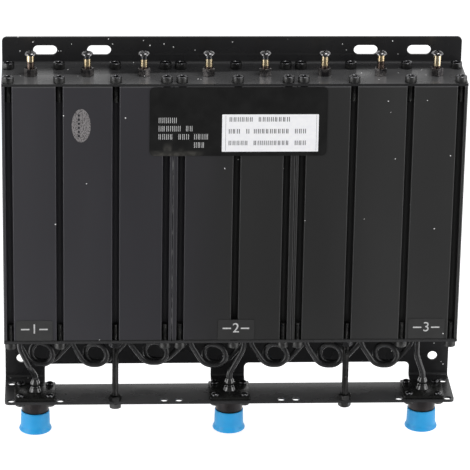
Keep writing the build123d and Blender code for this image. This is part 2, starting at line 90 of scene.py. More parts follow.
def addObject(name, data):
    thing = bpy.data.objects.new(name, data)
    bpy.context.scene.collection.objects.link(thing)
    return thing


# Camera, at the photograph's angle

photoCamera = {
    "elevation": 21.478, "yaw": 3.299, "roll": 0.984,
    "distance": 1940.58, "aim": (0.0, -40.5, -92.9),
    "focal": 3194.0, "centre": (233.53, 215.52), "frame": 470.0, "sensor": 36.0,
}


def cameraAxes(c):
    lift, yaw, roll = radians(c["elevation"]), radians(c["yaw"]), radians(c["roll"])
    ahead = Vector((sin(yaw) * cos(lift), cos(yaw) * cos(lift), -sin(lift)))
    side = Vector((cos(yaw), -sin(yaw), 0))
    top = side.cross(ahead)
    return cos(roll) * side + sin(roll) * top, cos(roll) * top - sin(roll) * side, ahead


def cameraPlace(c):
    return (Vector(c["aim"]) - cameraAxes(c)[2] * c["distance"]) * mm


def makeCamera(c):
    side, top, ahead = cameraAxes(c)
    data = bpy.data.cameras.new("photoCamera")
    data.sensor_width = c["sensor"]
    data.lens = c["focal"] / c["frame"] * c["sensor"]
    data.shift_x = (c["frame"] / 2 - c["centre"][0]) / c["frame"]
    data.shift_y = (c["centre"][1] - c["frame"] / 2) / c["frame"]
    camera = addObject("photoCamera", data)
    turn = Matrix((side, top, -ahead)).transposed().to_4x4()
    camera.matrix_world = Matrix.Translation(cameraPlace(c)) @ turn
    bpy.context.scene.camera = camera


makeCamera(photoCamera)
print("camera set")


# Light, floor and background, in metres. The floor leaves room for the caps when they are pulled off.

studio = {
    "floorZ": -0.2715, "floorX": (-1.8, 1.8), "floorY": (-0.13, 3.4), "floorColour": (0.84, 0.84, 0.85),
    "floorRoughness": 0.9, "floorGlow": 0.62, "worldFill": 0.5,
    # in gloss, the room's brightness in front and overhead, each with the directions it fades between
    "roomFront": 0.14, "frontFade": (-0.35, 0.2), "roomTop": 0.25, "topFade": (0.42, 0.75),
    "lamps": (
        ("leftPanel", (-1.09, -0.51, 0.0), (0.75, 1.35), 8.5),
        ("rightPanel", (1.09, -0.51, 0.0), (0.75, 1.35), 7.5),
        ("topPanel", (0.3, -0.3, 1.15), (0.7, 0.45), 6.5),
    ),
    "lampAim": (0.0, -0.03, 0.0),
}


def addNode(tree, kind, links=(), **values):
    # a node with its inputs linked by place or name, and its settings by name
    node = tree.nodes.new(kind)
    for name, value in values.items():
        setattr(node, name, value)
    for place, source in links:
        tree.links.new(source, node.inputs[place])
    return node


def ramp(tree, value, fromLow, fromHigh, toLow, toHigh):
    node = addNode(tree, "ShaderNodeMapRange", [("Value", value)], interpolation_type="SMOOTHSTEP")
    ends = {"From Min": fromLow, "From Max": fromHigh, "To Min": toLow, "To Max": toHigh}
    for name, number in ends.items():
        node.inputs[name].default_value = number
    return node.outputs["Result"]


def combine(tree, how, first, second):
    return addNode(tree, "ShaderNodeMath", [(0, first), (1, second)], operation=how).outputs[0]


def seenRays(tree):
    path = tree.nodes.new("ShaderNodeLightPath")
    mirrored = combine(tree, "MAXIMUM", path.outputs["Is Glossy Ray"], path.outputs["Is Transmission Ray"])
    return path.outputs["Is Camera Ray"], mirrored


def makeWorld(s):
    # white where the camera looks, and dimmer in gloss
    world = bpy.data.worlds.new("studioWorld")
    bpy.context.scene.world = world
    world.use_nodes = True
    tree = world.node_tree
    camera, mirrored = seenRays(tree)
    towards = addNode(tree, "ShaderNodeSeparateXYZ",
                      [(0, tree.nodes.new("ShaderNodeTexCoord").outputs["Generated"])])
    backdrop = combine(tree, "MULTIPLY",
                       ramp(tree, towards.outputs["Y"], *s["frontFade"], s["roomFront"], 1.0),
                       ramp(tree, towards.outputs["Z"], *s["topFade"], 1.0, s["roomTop"]))
    seen = combine(tree, "MAXIMUM", camera, combine(tree, "MULTIPLY", mirrored, backdrop))
    other = ramp(tree, combine(tree, "MAXIMUM", camera, mirrored), 0, 1, s["worldFill"], 0)
    tree.links.new(combine(tree, "ADD", seen, other), tree.nodes["Background"].inputs["Strength"])
    tree.nodes["Background"].inputs["Color"].default_value = (1, 1, 1, 1)


def makeFloor(s):
    bm = bmesh.new()
    (x0, x1), (y0, y1) = s["floorX"], s["floorY"]
    bmesh.ops.create_grid(bm, x_segments=1, y_segments=1, size=0.5)
    bmesh.ops.scale(bm, vec=(x1 - x0, y1 - y0, 1), verts=bm.verts)
    bmesh.ops.translate(bm, vec=((x0 + x1) / 2, (y0 + y1) / 2, s["floorZ"]), verts=bm.verts)
    mesh = bpy.data.meshes.new("studioFloor")
    bm.to_mesh(mesh)
    bm.free()
    floor = addObject("studioFloor", mesh)
    paint = bpy.data.materials.new("paleFloor")
    paint.use_nodes = True
    tree = paint.node_tree
    shader = tree.nodes["Principled BSDF"]
    shader.inputs["Base Color"].default_value = (*s["floorColour"], 1)
    shader.inputs["Roughness"].default_value = s["floorRoughness"]
    shader.inputs["Specular IOR Level"].default_value = 0.0
    shader.inputs["Emission Color"].default_value = (1, 1, 1, 1)
    glow = ramp(tree, combine(tree, "MAXIMUM", *seenRays(tree)), 0, 1, 0, s["floorGlow"])
    tree.links.new(glow, shader.inputs["Emission Strength"])
    mesh.materials.append(paint)


def makeLamps(s):
    for name, place, size, power in s["lamps"]:
        lamp = bpy.data.lights.new(name, "AREA")
        lamp.shape = "RECTANGLE"
        lamp.size, lamp.size_y = size
        lamp.energy = power
        holder = addObject(name, lamp)
        holder.location = place
        holder.rotation_euler = (Vector(s["lampAim"]) - Vector(place)).to_track_quat("-Z", "Y").to_euler()


makeWorld(studio)
makeFloor(studio)
makeLamps(studio)
bpy.context.scene.view_settings.view_transform = "Standard"
print("studio set")


# Tools for the finishes

def grey(value):
    return value, value, value


def newFinish(name, colour, roughness, metallic=0.0, specular=0.5):
    finish = bpy.data.materials.new(name)
    finish.use_nodes = True
    shader = finish.node_tree.nodes["Principled BSDF"]
    shader.inputs["Base Color"].default_value = (*colour, 1)
    shader.inputs["Roughness"].default_value = roughness
    shader.inputs["Metallic"].default_value = metallic
    shader.inputs["Specular IOR Level"].default_value = specular
    return finish, shader


def objectSpot(tree, stretch=(1, 1, 1)):
    where = tree.nodes.new("ShaderNodeTexCoord").outputs["Object"]
    mapping = addNode(tree, "ShaderNodeMapping", [("Vector", where)])
    mapping.inputs["Scale"].default_value = stretch
    return mapping.outputs["Vector"]


def objectPlaces(tree):
    return addNode(tree, "ShaderNodeSeparateXYZ", [(0, objectSpot(tree))]).outputs


def objectNoise(tree, scale, stretch=(1, 1, 1), detail=3.0):
    noise = addNode(tree, "ShaderNodeTexNoise", [("Vector", objectSpot(tree, stretch))])
    noise.inputs["Scale"].default_value = scale
    noise.inputs["Detail"].default_value = detail
    return noise.outputs["Fac"]


def noiseRamp(tree, scale, low, high, stretch=(1, 1, 1)):
    return ramp(tree, objectNoise(tree, scale, stretch), 0.3, 0.7, low, high)


def colourRamp(tree, value, *stops):
    node = addNode(tree, "ShaderNodeValToRGB", [("Fac", value)])
    while len(node.color_ramp.elements) < len(stops):
        node.color_ramp.elements.new(0.5)
    for element, (place, colour) in zip(node.color_ramp.elements, stops):
        element.position = place
        element.color = (*colour, 1)
    return node.outputs["Color"]


def shadeNoise(tree, scale, dark, light):
    return colourRamp(tree, objectNoise(tree, scale), (0.35, dark), (0.68, light))


def mixColour(tree, amount, first, second, how="MIX"):
    mix = addNode(tree, "ShaderNodeMix", [("A", first)], data_type="RGBA", blend_type=how)
    if isinstance(amount, float):
        mix.inputs["Factor"].default_value = amount
    else:
        tree.links.new(amount, mix.inputs["Factor"])
    if isinstance(second, tuple):
        mix.inputs["B"].default_value = (*second, 1)
    else:
        tree.links.new(second, mix.inputs["B"])
    return mix.outputs["Result"]


def near(tree, value, middle, half, fade):
    # 1 within half a width, in millimetres, of a place in metres, and 0 beyond the fade
    away = addNode(tree, "ShaderNodeMath", [(0, value)], operation="SUBTRACT")
    away.inputs[1].default_value = middle
    away = addNode(tree, "ShaderNodeMath", [(0, away.outputs[0])], operation="ABSOLUTE").outputs[0]
    return ramp(tree, away, half * mm, (half + fade) * mm, 1, 0)


def setColour(finish, shader, colour):
    finish.node_tree.links.new(colour, shader.inputs["Base Color"])


def varyRoughness(finish, shader, scale, low, high, stretch=(1, 1, 1)):
    tree = finish.node_tree
    tree.links.new(noiseRamp(tree, scale, low, high, stretch), shader.inputs["Roughness"])


def addGrain(finish, shader, scale, depth, strength, stretch=(1, 1, 1)):
    tree = finish.node_tree
    bump = addNode(tree, "ShaderNodeBump", [("Height", objectNoise(tree, scale, stretch))])
    bump.inputs["Strength"].default_value = strength
    bump.inputs["Distance"].default_value = depth * mm
    tree.links.new(bump.outputs["Normal"], shader.inputs["Normal"])


def addDust(finish, shader, scale, radius, share, dustColour):
    # a few bright grains, one at the middle of some cells
    tree = finish.node_tree
    cells = addNode(tree, "ShaderNodeTexVoronoi", [("Vector", objectSpot(tree))])
    cells.inputs["Scale"].default_value = scale
    grain = ramp(tree, cells.outputs["Distance"], 0.5 * radius * mm * scale, radius * mm * scale, 1, 0)
    split = addNode(tree, "ShaderNodeSeparateColor", [(0, cells.outputs["Color"])])
    chosen = ramp(tree, split.outputs[0], share, share + 0.01, 1, 0)
    amount = combine(tree, "MULTIPLY", grain, chosen)
    colour = shader.inputs["Base Color"].links[0].from_socket
    setColour(finish, shader, mixColour(tree, amount, colour, dustColour))


def completed(finish, shader, colour, s):
    setColour(finish, shader, colour)
    for name, add in (("gloss", varyRoughness), ("grain", addGrain), ("specks", addDust)):
        if name in s:
            add(finish, shader, *s[name])
    return finish


# Plain finishes. The base is a colour, a roughness and at times metallic and specular amounts. The others
# start with a noise scale: shades from dark to light, gloss from the lowest roughness to the highest, and
# grain with its depth in millimetres, its strength and at times a stretch.

plainFinishes = {
    "darkSteel": {
        "base": ((0.12, 0.12, 0.125), 0.26, 1.0),
        "shades": (400, (0.08, 0.08, 0.085), (0.16, 0.16, 0.165)), "grain": (1800, 0.01, 0.2)},
    "blackedSteel": {
        "base": (grey(0.08), 0.5, 1.0),
        "shades": (300, grey(0.06), (0.11, 0.11, 0.108)), "gloss": (400, 0.42, 0.6)},
    "blackedNut": {
        "base": (grey(0.06), 0.34, 1.0),
        "shades": (250, grey(0.045), (0.085, 0.083, 0.082)), "gloss": (300, 0.26, 0.42)},
    "nickelPlate": {
        "base": ((0.26, 0.255, 0.26), 0.16, 1.0),
        "shades": (150, (0.15, 0.147, 0.15), (0.31, 0.305, 0.31)), "gloss": (260, 0.10, 0.22)},
    "dulledNickel": {
        "base": ((0.2, 0.19, 0.2), 0.22, 1.0),
        "shades": (420, (0.10, 0.095, 0.10), (0.34, 0.32, 0.31)), "gloss": (500, 0.14, 0.32)},
    "turnedBrass": {
        "base": ((0.97, 0.84, 0.62), 0.15, 1.0),
        "shades": (120, (0.94, 0.74, 0.44), (1.0, 0.87, 0.61)), "gloss": (200, 0.12, 0.18)},
    "paintedShadeBrass": {
        "base": ((0.16, 0.12, 0.10), 0.3, 1.0),
        "shades": (300, (0.10, 0.075, 0.065), (0.24, 0.18, 0.15)), "gloss": (300, 0.2, 0.34)},
    "cableJacket": {
        "base": ((0.020, 0.020, 0.021), 0.3), "shades": (200, (0.016, 0.016, 0.017), (0.024, 0.024, 0.025)),
        "gloss": (220, 0.22, 0.32), "grain": (500, 0.015, 0.2)},
    "bootShrink": {
        "base": (grey(0.010), 0.14, 0.0, 1.0),
        "shades": (200, grey(0.008), grey(0.013)), "gloss": (200, 0.12, 0.2),
        "sockets": {"Coat Weight": 0.5, "Coat Roughness": 0.12}},
    # the jacks' nickel neck and nose, painted dark for the shade under the shelf
    "paintedShadePlate": {
        "base": ((0.026, 0.024, 0.026), 0.32, 0.8),
        "shades": (120, (0.018, 0.017, 0.018), (0.038, 0.033, 0.033)), "gloss": (300, 0.26, 0.4)},
    "flangeBlack": {
        "base": (grey(0.009), 0.28, 0.0, 0.3),
        "shades": (150, grey(0.007), (0.012, 0.012, 0.011)), "gloss": (260, 0.22, 0.34)},
    "capVinyl": {
        "base": ((0.02, 0.38, 0.84), 0.42), "shades": (90, (0.010, 0.34, 0.76), (0.020, 0.41, 0.85)),
        "grain": (300, 0.03, 0.2, (1, 1, 6)),
        "sockets": {
            "Subsurface Weight": 0.2, "Subsurface Radius": (0.2, 0.8, 1.0), "Subsurface Scale": 0.002}},
    "paperWhite": {
        "base": ((0.92, 0.92, 0.94), 0.6), "shades": (500, (0.90, 0.90, 0.93), (0.94, 0.94, 0.95)),
        "grain": (2200, 0.01, 0.3)},
    "paleInk": {
        "base": (grey(0.6), 0.55, 0.0, 0.2), "shades": (900, grey(0.48), grey(0.6))},
    "darkInk": {
        "base": ((0.03, 0.03, 0.035), 0.55, 0.0, 0.2),
        "shades": (900, (0.024, 0.024, 0.028), (0.03, 0.03, 0.035))},
    "whiteResin": {
        "base": ((0.8, 0.8, 0.76), 0.4), "shades": (200, (0.76, 0.76, 0.72), (0.82, 0.82, 0.78)),
        "gloss": (300, 0.35, 0.5)},
    "speckWhite": {
        "base": (grey(0.7), 0.8), "shades": (300, grey(0.7), grey(0.95))},
}


def plainFinish(name, s):
    finish, shader = newFinish(name, *s["base"])
    for socket, value in s.get("sockets", {}).items():
        shader.inputs[socket].default_value = value
    return completed(finish, shader, shadeNoise(finish.node_tree, *s["shades"]), s)


# Paint of the bent sheets. A ramp is two places in metres, or two slopes, and the amounts there.
# A paler film, part dust and part painted sheen, lies on the lid up to a slanted line, more of it to the left
# and less on the shelf.

bracketPaint = {
    "base": ((0.018, 0.018, 0.019), 0.27),
    "shades": (30, (0.016, 0.016, 0.017), (0.021, 0.021, 0.022)), "grain": (900, 0.02, 0.3),
    "dustSheenColour": (0.1, 0.1, 0.102), "dustSheenClouds": (40, 0.8, 1.0), "dustSheenLevel": (0.9, 0.99, 0, 1),
    "dustSheenSlant": (-0.14, 0.14, 0.0035, -0.007), "dustSheenFront": (-0.021, -0.0175, 1, 0),
    "dustSheenAcross": (-0.1, 0.0, 1.0, 0.62), "dustSheenHeight": (-0.2, -0.02, 0.3, 1),
    "dustSheenBackAcross": (-0.135, -0.05, 0.5, 0.05), "dustSheenBackCorner": (-0.14, -0.11, 0.75, 0),
    "edgeHighlightColour": (0.036, 0.036, 0.037), "edgeFace": (-0.0404, -0.0401, 1, 0),
    "floorEdge": (-0.178, 4, 2), "otherEdges": (-0.12, 0, 0.4, 0.1),
    "smooth": (45, 0.22, 0.32), "duller": (0.05, 0.25, 0, 0.4), "dullerEnd": (0.8, 0.97, 1, 0),
    "specks": (120, 0.3, 0.10, grey(0.5)),
}


def bracketCoat(s=bracketPaint):
    finish, shader = newFinish("bracketCoat", *s["base"])
    tree = finish.node_tree
    x, y, z = objectPlaces(tree)
    facing = addNode(tree, "ShaderNodeSeparateXYZ",
                     [(0, tree.nodes.new("ShaderNodeNewGeometry").outputs["Normal"])]).outputs["Z"]
    # the film is dust and painted sheen, up to a line slanted across the lid
    slant = combine(tree, "ADD", y, ramp(tree, x, *s["dustSheenSlant"]))
    front = combine(tree, "MULTIPLY", ramp(tree, slant, *s["dustSheenFront"]), ramp(tree, x, *s["dustSheenAcross"]))
    back = combine(tree, "MAXIMUM", ramp(tree, x, *s["dustSheenBackAcross"]), ramp(tree, x, *s["dustSheenBackCorner"]))
    film = combine(tree, "MAXIMUM", front, back)
    for share in (ramp(tree, facing, *s["dustSheenLevel"]), ramp(tree, z, *s["dustSheenHeight"]),
                  noiseRamp(tree, *s["dustSheenClouds"])):
        film = combine(tree, "MULTIPLY", film, share)
    coat = mixColour(tree, film, shadeNoise(tree, *s["shades"]), s["dustSheenColour"])
    # painted highlight: the front faces of the sheet edges are lighter, as if catching light
    edges = combine(tree, "MAXIMUM", near(tree, z, *s["floorEdge"]), ramp(tree, x, *s["otherEdges"]))
    edges = combine(tree, "MULTIPLY", ramp(tree, y, *s["edgeFace"]), edges)
    # faces between upright and level, such as the bends, are duller
    duller = combine(tree, "MULTIPLY", ramp(tree, facing, *s["duller"]), ramp(tree, facing, *s["dullerEnd"]))
    tree.links.new(combine(tree, "ADD", noiseRamp(tree, *s["smooth"]), duller), shader.inputs["Roughness"])
    return completed(finish, shader, mixColour(tree, edges, coat, s["edgeHighlightColour"]), s)


# Colour of the three extrusions: cooler and paler to the left, rubbed in places where two blocks meet, with a
# painted highlight along the top and a painted shadow line at the foot

footShadow = {"fade": (-0.1752, -0.1748, 1, 0), "colour": grey(0.006)}
extrusionTones = {
    "base": ((0.032, 0.032, 0.033), 0.42), "across": (-0.14, 0.14, 0, 1),
    "tonesAcross": ((0.0, (0.039, 0.038, 0.044)), (0.3, (0.028, 0.027, 0.032)), (0.5, grey(0.022)),
             (0.8, grey(0.022)), (1.0, grey(0.028))),
    "cloudNoise": (14, (1, 1, 0.3)), "clouds": ((0.3, grey(0.86)), (0.7, (1.1, 1.1, 1.1))),
    "rubbedShares": (0.55, 0.65), "rubbedReach": (0.2, 0.2), "rubbedNoise": (700, (1, 1, 0.25)),
    "rubbedColour": grey(0.2), "topHighlight": (-0.0108, -0.0105, 0, 1), "topHighlightColour": (0.075, 0.075, 0.078),
    "gloss": (25, 0.38, 0.47, (1, 1, 0.2)), "grain": (900, 0.012, 0.25, (1, 1, 0.03)),
    "specks": (60, 0.3, 0.05, (0.25, 0.25, 0.27)),
}


def blockCoat(s=extrusionTones):
    finish, shader = newFinish("blockCoat", *s["base"])
    tree = finish.node_tree
    x, y, z = objectPlaces(tree)
    acrossTone = colourRamp(tree, ramp(tree, x, *s["across"]), *s["tonesAcross"])
    clouds = colourRamp(tree, objectNoise(tree, *s["cloudNoise"]), *s["clouds"])
    coat = mixColour(tree, 1.0, acrossTone, clouds, "MULTIPLY")
    for joint, share in zip(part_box("cavity_block_centre"), s["rubbedShares"]):
        broken = ramp(tree, objectNoise(tree, *s["rubbedNoise"]), share - 0.05, share + 0.05, 0, 1)
        rubbed = combine(tree, "MULTIPLY", near(tree, x, joint[0], *s["rubbedReach"]), broken)
        coat = mixColour(tree, rubbed, coat, s["rubbedColour"])
    # painted highlight along the top edge of the blocks
    coat = mixColour(tree, ramp(tree, z, *s["topHighlight"]), coat, s["topHighlightColour"])
    coat = mixColour(tree, ramp(tree, z, *footShadow["fade"]), coat, footShadow["colour"])
    return completed(finish, shader, coat, s)


# Matt film of the label sheet, dusty along its lower left edge and in streaks over the grooves behind it

labelDirt = {
    "base": (grey(0.009), 0.5, 0.0, 0.25),
    "shades": (120, grey(0.007), grey(0.011)), "gloss": (80, 0.44, 0.58),
    "colour": (0.052, 0.050, 0.045), "ragged": (300, (0.38, 0.62, 0.45, 1)),
    "lowEdge": (-0.0545, 2.0, 2.5), "lowEdgeAcross": (-0.036, 10, 9),
    # a streak's middle and half width, and its lowest place and strength, from which it fades out upwards
    "streaks": ((-0.0405, 1.4, -0.0505, 0.9), (-0.0322, 0.6, -0.0525, 0.6)), "streakFade": (2.0, 0.006),
    "specks": (90, 0.25, 0.06, (0.2, 0.2, 0.19)),
}


def labelFilm(s=labelDirt):
    finish, shader = newFinish("labelFilm", *s["base"])
    tree = finish.node_tree
    x, y, z = objectPlaces(tree)
    dirt = combine(tree, "MULTIPLY", near(tree, z, *s["lowEdge"]), near(tree, x, *s["lowEdgeAcross"]))
    sideFade, upFade = s["streakFade"]
    for middle, half, lowest, share in s["streaks"]:
        streak = combine(tree, "MULTIPLY", near(tree, x, middle, half, sideFade),
                         ramp(tree, z, lowest, lowest + upFade, share, 0))
        dirt = combine(tree, "MAXIMUM", dirt, streak)
    scale, breaks = s["ragged"]
    dirt = combine(tree, "MULTIPLY", dirt, ramp(tree, objectNoise(tree, scale), *breaks))
    return completed(finish, shader, mixColour(tree, dirt, shadeNoise(tree, *s["shades"]), s["colour"]), s)


# Film of the port stickers, as dark as the extrusion behind each, with a shadow line over the floor sheet

stickerTones = {
    "base": (grey(0.03), 0.5, 0.0, 0.3), "across": (-0.14, 0.14, 0, 1),
    "tonesAcross": ((0.0, grey(0.045)), (0.5, grey(0.029)), (1.0, grey(0.038))),
    "clouds": (300, 0, 0.3), "cloudColour": grey(0.03), "gloss": (80, 0.44, 0.58),
}


def stickerFilm(s=stickerTones):
    finish, shader = newFinish("stickerFilm", *s["base"])
    tree = finish.node_tree
    x, y, z = objectPlaces(tree)
    film = colourRamp(tree, ramp(tree, x, *s["across"]), *s["tonesAcross"])
    film = mixColour(tree, noiseRamp(tree, *s["clouds"]), film, s["cloudColour"])
    film = mixColour(tree, ramp(tree, z, *footShadow["fade"]), film, footShadow["colour"])
    return completed(finish, shader, film, s)


# Foil of the oval seal, blotched

foilBlotches = {
    "base": ((0.2, 0.19, 0.19), 0.35, 0.4), "noise": 1500, "detail": 1.0, "gloss": (700, 0.25, 0.5),
    "shades": ((0.34, (0.09, 0.085, 0.085)), (0.55, (0.36, 0.34, 0.345))),
}


def sealFoil(s=foilBlotches):
    finish, shader = newFinish("sealFoil", *s["base"])
    tree = finish.node_tree
    noise = objectNoise(tree, s["noise"], detail=s["detail"])
    return completed(finish, shader, colourRamp(tree, noise, *s["shades"]), s)


finishes = {name: plainFinish(name, settings) for name, settings in plainFinishes.items()}
for make in (bracketCoat, blockCoat, labelFilm, stickerFilm, sealFoil):
    finishes[make.__name__] = make()
print("finishes:", len(finishes))


# Tools for the shapes

def addPiece(name, bm, body, finishNames, stands=(), sharp=35):
    bmesh.ops.scale(bm, vec=(mm, mm, mm), verts=bm.verts)
    mesh = bpy.data.meshes.new(name)
    bm.to_mesh(mesh)
    bm.free()
    mesh.shade_smooth()
    mesh.set_sharp_from_angle(angle=radians(sharp))
    for finishName in [finishNames] if isinstance(finishNames, str) else finishNames:
        mesh.materials.append(finishes[finishName])
    piece = addObject(name, mesh)
    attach(piece, body)
    if stands:
        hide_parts(*stands)


def spinUp(bm, profile, steps, rise=0.0, closed=True):
    verts = [bm.verts.new((r, 0, z)) for r, z in profile]
    edges = [bm.edges.new(pair) for pair in zip(verts, verts[1:])]
    bmesh.ops.spin(bm, geom=verts + edges, cent=(0, 0, 0), axis=(0, 0, 1), angle=2 * pi,
                   dvec=(0, 0, rise / steps), steps=steps, use_merge=closed)


def bevelEdges(bm, edges, width, segments):
    bmesh.ops.bevel(bm, geom=edges, offset=width, affect="EDGES", segments=segments, profile=0.5, material=-1)


def tidyShell(bm):
    bmesh.ops.remove_doubles(bm, verts=bm.verts, dist=1e-4)
    bmesh.ops.dissolve_degenerate(bm, dist=1e-5, edges=bm.edges)
    bmesh.ops.recalc_face_normals(bm, faces=bm.faces)


def openEdges(bm):
    return [edge for edge in bm.edges if edge.is_boundary]


def only(kind, geom):
    return [thing for thing in geom if isinstance(thing, kind)]


def paintFaces(bm, index):
    for face in bm.faces:
        face.material_index = index


def stamp(target, template, places):
    # adds a copy of the template to the target for each matrix
    for place in places:
        mesh = bpy.data.meshes.new("stampCopy")
        template.to_mesh(mesh)
        mesh.transform(place)
        target.from_mesh(mesh)
        bpy.data.meshes.remove(mesh)


def at(x, y, z, turnX=0.0, turnZ=0.0):
    return (Matrix.Translation((x, y, z)) @ Matrix.Rotation(radians(turnX), 4, "X")
            @ Matrix.Rotation(radians(turnZ), 4, "Z"))


def addRing(bm, radius, z, count, corners=0):
    # a loop of edges, round or with corners, that has the same number of points either way
    ring = bmesh.new()
    bmesh.ops.create_circle(ring, segments=corners or count, radius=radius)
    if corners:
        bmesh.ops.subdivide_edges(ring, edges=ring.edges[:], cuts=count // corners - 1)
    before = set(bm.edges)
    stamp(bm, ring, [at(0, 0, z)])
    ring.free()
    return [edge for edge in bm.edges if edge not in before]


def bridge(bm, first, second):
    bmesh.ops.bridge_loops(bm, edges=first + second)


def threadTemplate(crest, root, pitch, length, steps):
    # a run of teeth spun up by one pitch, trimmed flat at both ends
    bm = bmesh.new()
    profile = []
    for tooth in range(int(length / pitch) + 3):
        z = (tooth - 1.5) * pitch
        profile += [(root, z), (crest, z + 0.4 * pitch), (crest, z + 0.6 * pitch)]
    spinUp(bm, profile, steps, pitch, False)
    bmesh.ops.remove_doubles(bm, verts=bm.verts, dist=1e-3)
    for z, outward in ((0, -1), (length, 1)):
        cut = bmesh.ops.bisect_plane(bm, geom=bm.verts[:] + bm.edges[:] + bm.faces[:], dist=1e-5,
                                     plane_co=(0, 0, z), plane_no=(0, 0, outward), clear_outer=True)
        bmesh.ops.edgeloop_fill(bm, edges=only(bmesh.types.BMEdge, cut["geom_cut"]))
    bmesh.ops.recalc_face_normals(bm, faces=bm.faces)
    return bm


# Socket-head screws in the lid and the floor

socketScrew = {
    "head": 3.5, "height": 4.0, "rim": 0.55, "socketFlats": 3.0, "socketDepth": 2.2, "knurls": 36,
    "knurlDepth": 0.09, "shank": 2.0, "root": 1.7, "pitch": 0.7, "length": 12.0, "shankSteps": 16,
    # rounded edges, as (across, along), of the socket's mouth, wider than the hex by a gap, and of the head
    "mouthGap": 0.25, "mouthEdge": ((0.0, 0.25), (0.12, 0.06), (0.3, 0.0)),
    "upperEdge": ((0.26, 0.07), (0.08, 0.24), (0.0, 0.5)),
    "lowerEdge": ((0.0, 0.35), (0.15, 0.1), (0.3, 0.0)),
    "footGap": 0.1, "hexFrom": 0.45, "sideFrom": 0.6,
}


def socketScrewTemplate(s):
    bm = bmesh.new()
    count, side, top = s["knurls"] * 2, s["head"], s["height"]
    hexRadius = s["socketFlats"] / 2 / cos(pi / 6)
    mouth = hexRadius + s["mouthGap"]
    profile = [(mouth + across, top - down) for across, down in s["mouthEdge"]]
    profile.append((side - s["rim"], top))
    profile += [(side - across, top - down) for across, down in s["upperEdge"]]
    profile += [(side - across, up) for across, up in s["lowerEdge"]]
    profile.append((s["shank"] - s["footGap"], 0))
    spinUp(bm, profile, count)
    bmesh.ops.remove_doubles(bm, verts=bm.verts, dist=1e-4)
    for vert in bm.verts:
        if abs(vert.co.xy.length - side) < 1e-3:
            if round(atan2(vert.co.y, vert.co.x) / (2 * pi) * count) % 2:
                vert.co.xy *= (side - s["knurlDepth"]) / side
    rim = [e for e in openEdges(bm) if e.verts[0].co.z > top / 2]
    upper = addRing(bm, hexRadius, top - s["hexFrom"], count, 6)
    bridge(bm, rim, upper)
    lower = addRing(bm, hexRadius, top - s["socketDepth"], count, 6)
    bridge(bm, upper, lower)
    bmesh.ops.edgeloop_fill(bm, edges=lower)
    tidyShell(bm)
    for face in bm.faces:
        spot = face.calc_center_median()
        face.material_index = int(spot.z < top - s["sideFrom"] and spot.xy.length > hexRadius + 0.3)
    shank = threadTemplate(s["shank"], s["root"], s["pitch"], s["length"], s["shankSteps"])
    paintFaces(shank, 1)
    stamp(bm, shank, [at(0, 0, 0, 180)])
    shank.free()
    return bm


def placeScrews():
    template = socketScrewTemplate(socketScrew)
    draw = random.Random(4)
    spots = [(x, y) for x in layout["channelsX"] for y in layout["rowsY"]]
    upper = bmesh.new()
    stamp(upper, template, [at(x, y, layout["lidZ"], 0, draw.uniform(0, 60)) for x, y in spots])
    addPiece("lidScrews", upper, "chassis", ("darkSteel", "blackedSteel"), ("top_screws",))
    lower = bmesh.new()
    spots = [(x, y) for x, y in spots if not (x in layout["studsX"] and y == layout["studRowY"])]
    stamp(lower, template, [at(x, y, layout["floorZ"], 180, draw.uniform(0, 60)) for x, y in spots])
    addPiece("floorScrews", lower, "chassis", ("blackedSteel", "blackedSteel"),
             ("bottom_screws",))
    template.free()


placeScrews()
print("screws placed")


# Hex nuts, all from one template. A cone turns their corners down, from the share of the flats on.

nutForm = {"points": 48, "faceShare": 0.97, "cone": 30, "chamfer": 0.3, "paintedLightFrom": 10}
lockNut = {"flats": 7.0, "height": 4.8, "bore": 2.3}
studNut = {"flats": 7.0, "height": 3.2, "bore": 2.05}
flangeNut = {"flats": 5.5, "height": 2.4, "bore": 1.55}
studNutsZ = [layout["floorZ"] - studNut["height"], layout["shelfZ"],
             layout["shelfUnderZ"] - studNut["height"]]
nutRuns = (
    ("tunerLockNuts", "dulledNickel", lockNut, "lock_nuts",
     [(x, layout["midY"], layout["lidZ"]) for x in layout["cavitiesX"]]),
    ("studNuts", ("blackedNut", "darkSteel"), studNut, "stud_nuts",
     [(x, layout["studRowY"], z) for x in layout["studsX"] for z in studNutsZ]),
    ("flangeNuts", "blackedSteel", flangeNut, "jack_nuts",
     [(x, y, layout["shelfUnderZ"] - flangeNut["height"]) for x, y in layout["flangeHoles"]]),
)


def hexNutTemplate(s, form):
    bm = bmesh.new()
    count, chamfer = form["points"], form["chamfer"]
    corner = s["flats"] / 2 / cos(pi / 6)
    face = s["flats"] / 2 * form["faceShare"]
    rings = []
    for z, sign in ((s["height"], -1), (0.0, 1)):
        outer = addRing(bm, corner, z, count, 6)
        for vert in {v for e in outer for v in e.verts}:
            vert.co.z += sign * max(0.0, vert.co.xy.length - face) * tan(radians(form["cone"]))
        flat = addRing(bm, face, z, count)
        edge = addRing(bm, s["bore"] + chamfer, z, count)
        rings.append((outer, flat, edge, addRing(bm, s["bore"], z + sign * chamfer, count)))
    bridge(bm, rings[0][0], rings[1][0])
    for outer, flat, edge, hole in rings:
        bridge(bm, outer, flat)
        bridge(bm, flat, edge)
        bridge(bm, edge, hole)
    bridge(bm, rings[0][3], rings[1][3])
    tidyShell(bm)
    return bm


def placeNuts(runs, form):
    draw = random.Random(9)
    for name, finishName, settings, stands, spots in runs:
        template = hexNutTemplate(settings, form)
        bm = bmesh.new()
        stamp(bm, template, [at(*spot, 0, draw.uniform(0, 60)) for spot in spots])
        template.free()
        if isinstance(finishName, tuple):
            # painted light: the nuts up under the floor take a brighter finish than those at the shelf
            for face in bm.faces:
                face.material_index = int(face.calc_center_median().z > layout["shelfZ"] + form["paintedLightFrom"])
        addPiece(name, bm, "chassis", finishName, (stands,), sharp=28)


